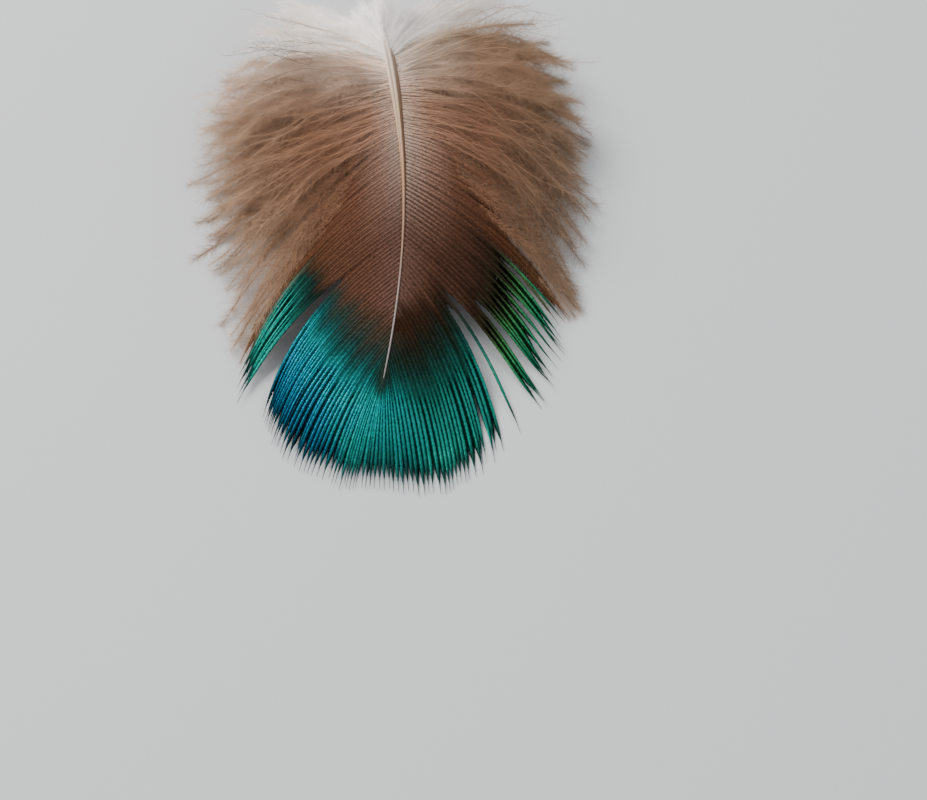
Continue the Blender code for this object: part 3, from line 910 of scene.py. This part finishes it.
def barb_material(settings):
    """Vane barbs: brown melanin near the shaft, and films in the barbules that shine blue-green.

    The films act like a thin tinted mirror, so the ends of the barbs are part metallic. Each barb has
    a painted highlight along its middle and painted shade, nearly black, where its barbules meet the
    next barb's.
    """
    material, tree, shader, marks = new_material(
        "iridescent_barbs", "from_tip", "from_root", "rooted", "outward", "luck"
    )
    rooted = marks["rooted"]
    marks["off_tip"] = add_node(tree, "Math", (rooted,), operation="ABSOLUTE")

    # The film's thickness drifts over patches of the vane, and from barb to barb.
    place_at = add_node(tree, "TexCoord", output="Object")
    drift = add_node(tree, "TexNoise", {"Vector": place_at, "Scale": 1 / (FILM_PATCH * MM)})
    swing = add_node(tree, "MapRange", (drift, *NOISE_RANGE, -DRIFT_ROUND, DRIFT_ROUND))
    marks["drifting"] = add_node(tree, "Math", (rooted, swing), operation="ADD")
    shift = add_node(tree, "MapRange", (marks["luck"], 0.0, 1.0, -DRIFT_ALONG, DRIFT_ALONG))
    from_tip = add_node(tree, "Math", (marks["from_tip"], shift), operation="ADD")
    # Around the shaft's own tip the colour sets in later, and leaves a dark patch.
    at_tip = patch_share(tree, marks, LATE_AT_TIP)
    from_tip = add_node(tree, "Math", (at_tip, LATE_BY, from_tip), operation="MULTIPLY_ADD")
    marks["from_tip"] = from_tip

    shining = laid_colours(tree, marks, from_tip, BARB_ENDS, ENDS_SPAN, ENDS_ROUND_VANE)
    from_root = marks["from_root"]
    brown = laid_colours(tree, marks, from_root, BARB_BROWNS, BROWNS_SPAN, BROWNS_ROUND_VANE)
    brown_left = from_tip
    for mark, *shift_by in BROWN_GIVES_WAY:
        shift = add_node(tree, "MapRange", (marks[mark], *shift_by))
        brown_left = add_node(tree, "Math", (brown_left, shift), operation="ADD")
    marks["brown_left"] = brown_left
    iridescent = patch_share(tree, marks, IRIDESCENT_ENDS)
    inputs = {0: iridescent, 6: brown, 7: shining}
    coloured = add_node(tree, "Mix", inputs, output=2, data_type="RGBA")

    # How strongly the painted light lies on each barb, a painted highlight along its middle and
    # painted shade at its barbules' ends: fully where it is glossy, less where it is brown. Close to
    # the shaft, on the right, the brown barbs get a painted sheen, paler and more strongly shaded.
    glossy = patch_share(tree, marks, GLOSSY_ENDS)
    painted_sheen = patch_share(tree, marks, PAINTED_SHEEN_PATCH)
    # Painted light on the brown barbs: weaker further up the shaft, stronger in the painted sheen.
    matt = add_node(tree, "MapRange", (marks["off_tip"], *BROWN_PAINTED_LIGHT))
    matt = add_node(tree, "Math", (painted_sheen, PAINTED_SHEEN_CONTRAST, matt), operation="MULTIPLY_ADD")
    painted_light_strength = add_node(tree, "Math", (glossy, matt), operation="MAXIMUM")
    outward = add_node(tree, "MapRange", (marks["outward"], 0.0, 1.0))
    inputs = {0: painted_light_strength, 6: coloured, 7: add_node(tree, "ValToRGB", (outward,), BARB_PAINTED_LIGHT)}
    with_painted_light = add_node(tree, "Mix", inputs, output=2, data_type="RGBA", blend_type="MULTIPLY")
    # Painted glints along each barb, beads of light from one barbule after another.
    grain = {"Vector": place_at, "Scale": 1 / (PAINTED_GLINT_SIZE * MM), "Detail": 1.0}
    painted_glints = add_node(tree, "TexNoise", grain)
    painted_glints = add_node(tree, "MapRange", (painted_glints, *NOISE_RANGE, *PAINTED_GLINT_TONES))
    # The painted sheen makes the brown barbs close to the shaft on the right paler.
    paler = add_node(tree, "MapRange", (painted_sheen, 0.0, 1.0, 1.0, PAINTED_SHEEN_TONE))
    for painted_light_factor in (paler, painted_glints):
        with_painted_light = add_node(tree, "VectorMath", {0: with_painted_light, "Scale": painted_light_factor}, operation="SCALE")
    metal = add_node(tree, "Math", (glossy, settings.shine), operation="MULTIPLY")
    roughness = add_node(tree, "MapRange", (metal, 0.0, 0.7, *BARB_ROUGHNESS))
    tree.links.new(with_painted_light, shader.inputs["Base Color"])
    tree.links.new(metal, shader.inputs["Metallic"])
    tree.links.new(roughness, shader.inputs["Roughness"])
    tree.links.new(coloured, shader.inputs["Specular Tint"])
    shader.inputs["Specular IOR Level"].default_value = 0.12
    return material


def down_material(settings):
    """Down: loose keratin fluff, matt and soft, beige-brown and nearly white round the quill."""
    material, tree, shader, marks = new_material(
        "feather_down", "from_root", "rooted", "outward", "luck", "pale"
    )
    marks["off_tip"] = add_node(tree, "Math", (marks["rooted"],), operation="ABSOLUTE")
    from_root = marks["from_root"]
    # The down at the quill and on pale layers is white, and the left's highest pales to its ends in
    # painted light.
    white = add_node(tree, "MapRange", (marks["off_tip"], *WHITE_QUILL))
    painted_light_high_left = patch_share(tree, marks, PAINTED_LIGHT_HIGH_LEFT)
    to_ends = add_node(tree, "MapRange", (from_root, *PALING_TO_ENDS))
    paling = add_node(tree, "Math", (painted_light_high_left, to_ends), operation="MULTIPLY")
    for also in (marks["pale"], paling):
        white = add_node(tree, "Math", (white, also), operation="MAXIMUM")
    marks["white"] = white
    colour = laid_colours(tree, marks, from_root, DOWN_COLOURS, DOWN_SPAN, DOWN_ROUND_QUILL)
    # Tufts differ in tone, and so do barbs, whose own rods are paler than their barbules.
    place_at = add_node(tree, "TexCoord", output="Object")
    grain = {"Vector": place_at, "Scale": 1 / (TUFT * MM), "Detail": 3.0}
    tufts = add_node(tree, "TexNoise", grain)
    tones = [
        add_node(tree, "MapRange", (tufts, 0.35, 0.65, *TUFT_TONES)),
        add_node(tree, "MapRange", (marks["luck"], 0.0, 1.0, *LUCK_TONES)),
        add_node(tree, "MapRange", (marks["outward"], 0.0, ROD_EDGE, ROD_TONE, 1.0)),
    ]
    # Patches made paler or darker, among them a painted highlight on the left's highest down.
    for tone, *edges in DOWN_TONES.values():
        inside = patch_share(tree, marks, edges)
        tones.append(add_node(tree, "MapRange", (inside, 0.0, 1.0, 1.0, tone)))
    for tone in tones:
        colour = add_node(tree, "VectorMath", {0: colour, "Scale": tone}, operation="SCALE")
    tree.links.new(colour, shader.inputs["Base Color"])
    shader.inputs["Roughness"].default_value = 0.8
    shader.inputs["Specular IOR Level"].default_value = 0.25
    shader.inputs["Sheen Weight"].default_value = settings.sheen
    shader.inputs["Sheen Roughness"].default_value = 0.6
    shader.inputs["Sheen Tint"].default_value = linear("e0c0a4")
    return material


class ShaftSettings(bpy.types.PropertyGroup):
    thickness: FloatProperty(
        name="Thickness", description="Share of the measured thickness", default=1.0, min=0.5, max=2.0
    )
    groove: FloatProperty(
        name="Groove", description="Depth of the groove along the shaft's outer side",
        default=0.2, min=0.0, max=0.6, subtype="FACTOR",
    )
    quill_glow: FloatProperty(
        name="Glow", description="How much light spreads inside the horn",
        default=0.1, min=0.0, max=1.0, subtype="FACTOR",
    )


class VaneSettings(bpy.types.PropertyGroup):
    # The width of the painted highlight along each barb.
    painted_highlight_width: millimetres(0.27, "Lit width", "How much of each barb's breadth is light, not dark")
    barbule_pitch: millimetres(0.12, "Barbule pitch", "Distance from barbule to barbule")
    shine: FloatProperty(
        name="Shine", description="How mirror-like the iridescent barbules are",
        default=0.7, min=0.0, max=1.0, subtype="FACTOR",
    )
    seed: IntProperty(name="Seed", description="Picks the small irregularities", default=4, min=0)


class DownSettings(bpy.types.PropertyGroup):
    barbule_length: millimetres(2.1, "Barbule length", "Length of the down's loose barbules")
    barbule_width: millimetres(0.034, "Barbule width", "Width of the down's loose barbules")
    sheen: FloatProperty(
        name="Sheen", description="Soft light along the edges of the down",
        default=0.2, min=0.0, max=1.0, subtype="FACTOR",
    )
    seed: IntProperty(name="Seed", description="Picks how the down lies", default=9, min=0)


class StageSettings(bpy.types.PropertyGroup):
    floor_colour: shade("e0e0e0", "Floor", "Colour of the surface under the feather")
    lens: FloatProperty(
        name="Lens", description="Focal length in millimetres on a 36 mm sensor", default=74.1, min=20.0
    )
    distance: millimetres(250.0, "Distance", "From the camera to what it looks at")
    elevation: FloatProperty(
        name="Elevation", description="How steeply the camera looks down",
        default=math.radians(62.0), subtype="ANGLE",
    )


class FEATHER_OT_shaft(bpy.types.Operator):
    """Make the quill and rachis as one tapering, grooved horn rod"""

    bl_idname = "feather.shaft"
    bl_label = "Shaft"

    def execute(self, context):
        settings = context.scene.feather_shaft
        # The shaft's section is a circle, pressed in along the grooves.
        bpy.ops.object.select_all(action="DESELECT")
        bpy.ops.curve.primitive_bezier_circle_add(radius=MM)
        section = context.object
        section.data.dimensions = "2D"
        bpy.ops.object.mode_set(mode="EDIT")
        bpy.ops.curve.select_all(action="SELECT")
        bpy.ops.curve.subdivide(number_cuts=4)
        bpy.ops.object.mode_set(mode="OBJECT")
        for knot in section.data.splines[0].bezier_points:
            angle = math.degrees(math.atan2(knot.co.y, knot.co.x))
            pressed = sum(
                depth * math.exp(-(((angle - middle) / breadth) ** 2))
                for middle, breadth, depth in SHAFT_GROOVES
            )
            knot.co *= 1 - settings.groove * pressed
            knot.handle_left_type = "AUTO"
            knot.handle_right_type = "AUTO"
        section.data.resolution_u = 2

        line = bpy.data.curves.new("shaft_line", "CURVE")
        line.dimensions = "3D"
        line.twist_mode = "Z_UP"
        line.bevel_mode = "OBJECT"
        line.bevel_object = section
        line.use_fill_caps = True
        strand = line.splines.new("POLY")
        closing = np.linspace(SHAFT_RADII[0][0], QUILL_CLOSES_Y, 8)[:-1]
        at = np.concatenate([closing, np.linspace(QUILL_CLOSES_Y, RACHIS_TIP_Y, 90)])
        strand.points.add(len(at) - 1)
        radii = stepped(SHAFT_RADII, at) * settings.thickness
        for point, y, radius in zip(strand.points, at, radii):
            z = max(float(shaft_z(y)), radius) + float(stepped(SHAFT_STANDS, y))
            point.co = (float(shaft_x(y)) * MM, (y - BOX_MIDDLE_Y) * MM, z * MM, 1.0)
            point.radius = radius
        rod = bpy.data.objects.new("shaft", line)
        context.scene.collection.objects.link(rod)
        bpy.ops.object.select_all(action="DESELECT")
        rod.select_set(True)
        context.view_layer.objects.active = rod
        bpy.ops.object.convert(target="MESH")
        shaft = context.object
        bpy.data.objects.remove(section)
        bpy.ops.object.mode_set(mode="EDIT")
        bpy.ops.mesh.select_all(action="SELECT")
        bpy.ops.mesh.remove_doubles(threshold=0.002 * MM)
        bpy.ops.mesh.normals_make_consistent(inside=False)
        bpy.ops.object.mode_set(mode="OBJECT")
        bpy.ops.object.shade_smooth_by_angle(angle=math.radians(50))
        # Its material's painted shade goes by where a point is across it, from the left flank (-1) to
        # the right (1).
        corners = np.array([vertex.co for vertex in shaft.data.vertices]) / MM
        at = corners[:, 1] + BOX_MIDDLE_Y
        off = (corners[:, 0] - shaft_x(at)) / stepped(SHAFT_RADII, at)
        mark = shaft.data.attributes.new("across", "FLOAT", "POINT")
        mark.data.foreach_set("value", off.astype(np.float32))
        shaft.data.materials.clear()
        shaft.data.materials.append(keratin_material(settings))
        claim(shaft)
        return {"FINISHED"}


class FEATHER_OT_vanes(bpy.types.Operator):
    """Make the left and right vane, barb by barb"""

    bl_idname = "feather.vanes"
    bl_label = "Vanes"

    def execute(self, context):
        settings = context.scene.feather_vane
        material = barb_material(settings)
        for name, side in SIDES.items():
            chance = np.random.default_rng(settings.seed + side)
            barbs = vane_barbs(side, chance)
            highlight_half_width = np.full(len(barbs.root), settings.painted_highlight_width / MM / 2 * LIT_SHARE[side])
            for group_side, low, high, _, _, share in LOOSE_GROUPS:
                inside = (barbs.root >= low) & (barbs.root < high) & (side == group_side)
                highlight_half_width = np.where(inside, highlight_half_width * share, highlight_half_width)
            strands = Strands()
            strands.begin(barbs)
            strands.rods(barbs, BARB_HALF_WIDTH, BARB_HEIGHT)
            hooked_barbules(strands, barbs, settings.barbule_pitch / MM, highlight_half_width, chance)
            place(strands.mesh("vane_" + name), material)
        return {"FINISHED"}


class FEATHER_OT_down(bpy.types.Operator):
    """Make the soft down at the base of the feather, and the downy ends of the vane's upper barbs"""

    bl_idname = "feather.down"
    bl_label = "Down"

    def execute(self, context):
        settings = context.scene.feather_down
        material = down_material(settings)
        size = settings.barbule_length / MM
        width = settings.barbule_width / MM
        for name, side in SIDES.items():
            chance = np.random.default_rng(settings.seed + side)
            for piece, layers in DOWN_PIECES.items():
                strands = Strands()
                for layer in layers:
                    barbs = down_barbs(side, DOWN_LAYERS[layer], chance)
                    barbs.pale = PALE_LAYERS.get(layer, (0.0, 0.0))[side > 0]
                    pitch, share, rod = DOWN_LAYERS[layer][7:]
                    thickness = [(left, half * rod) for left, half in DOWN_HALF_WIDTH]
                    strands.begin(barbs)
                    strands.rods(barbs, thickness, thickness)
                    start = stepped(DOWN_BARE, barbs.root)
                    loose_barbules(strands, barbs, start, pitch, size, width * share, chance)
                place(strands.mesh(piece + "_" + name), material)
            barbs = vane_barbs(side, np.random.default_rng(context.scene.feather_vane.seed + side))
            strands = Strands()
            strands.begin(barbs)
            start = FLUFF_SOONER * stepped(DOWNY_FROM, barbs.root) / barbs.length
            start = np.minimum(start, 1.0)
            loose_barbules(strands, barbs, start, FLUFF_PITCH, size, width, chance)
            place(strands.mesh("fluff_" + name), material)
        return {"FINISHED"}


class FEATHER_OT_stage(bpy.types.Operator):
    """Lay a plain pale floor, light it softly and place the camera"""

    bl_idname = "feather.stage"
    bl_label = "Stage"

    def execute(self, context):
        settings = context.scene.feather_stage
        bpy.ops.object.select_all(action="DESELECT")
        bpy.ops.mesh.primitive_plane_add(size=FLOOR_SIZE)
        floor = context.object
        floor.name = "floor"
        material, _, shader, _ = new_material("matt_table")
        shader.inputs["Base Color"].default_value = settings.floor_colour
        shader.inputs["Roughness"].default_value = 0.6
        shader.inputs["Specular IOR Level"].default_value = 0.2
        floor.data.materials.append(material)

        world = bpy.data.worlds.new("soft_room")
        context.scene.world = world
        world.use_nodes = True
        sky = world.node_tree.nodes["Background"]
        sky.inputs["Color"].default_value = linear(SKY_COLOUR)
        sky.inputs["Strength"].default_value = SKY_STRENGTH

        for name, size, place_at, power in LAMPS:
            bpy.ops.object.light_add(type="AREA", location=place_at)
            lamp = context.object
            lamp.name = name
            lamp.data.size = size
            lamp.data.energy = power
            lamp.rotation_euler = (-Vector(place_at)).to_track_quat("-Z", "Y").to_euler()

        target = Vector((LOOKED_AT[0], LOOKED_AT[1] - BOX_MIDDLE_Y, 0.0)) * MM
        back = Vector((0.0, -math.cos(settings.elevation), math.sin(settings.elevation)))
        bpy.ops.object.camera_add(location=target + back * settings.distance)
        camera = context.object
        camera.rotation_euler = (-back).to_track_quat("-Z", "Y").to_euler()
        camera.data.lens = settings.lens
        camera.data.sensor_width = SENSOR_WIDTH
        camera.data.clip_start = 0.01
        context.scene.camera = camera
        return {"FINISHED"}


class FEATHER_PT_panel(bpy.types.Panel):
    """Lists the feather's settings and what makes each piece"""

    bl_idname = "FEATHER_PT_panel"
    bl_label = "Peacock Feather"
    bl_space_type = "VIEW_3D"
    bl_region_type = "UI"
    bl_category = "Feather"

    def draw(self, context):
        for operator, (group, _) in zip(OPERATORS, GROUPS):
            box = self.layout.box()
            settings = getattr(context.scene, group)
            for name in settings.bl_rna.properties.keys():
                if name not in ("rna_type", "name"):
                    box.prop(settings, name)
            box.operator(operator.bl_idname)


GROUPS = (
    ("feather_shaft", ShaftSettings),
    ("feather_vane", VaneSettings),
    ("feather_down", DownSettings),
    ("feather_stage", StageSettings),
)
OPERATORS = (FEATHER_OT_shaft, FEATHER_OT_vanes, FEATHER_OT_down, FEATHER_OT_stage)


def register():
    """Makes the settings, the operators and the panel known to Blender."""
    for name, group in GROUPS:
        bpy.utils.register_class(group)
        setattr(bpy.types.Scene, name, PointerProperty(type=group))
    for operator in OPERATORS:
        bpy.utils.register_class(operator)
    bpy.utils.register_class(FEATHER_PT_panel)


def unregister():
    """Takes them away again."""
    bpy.utils.unregister_class(FEATHER_PT_panel)
    for operator in reversed(OPERATORS):
        bpy.utils.unregister_class(operator)
    for name, group in reversed(GROUPS):
        delattr(bpy.types.Scene, name)
        bpy.utils.unregister_class(group)


def main():
    """Makes the stage and every piece."""
    register()
    bpy.ops.feather.stage()
    bpy.ops.feather.shaft()
    bpy.ops.feather.vanes()
    bpy.ops.feather.down()


if __name__ == "__main__":
    main()
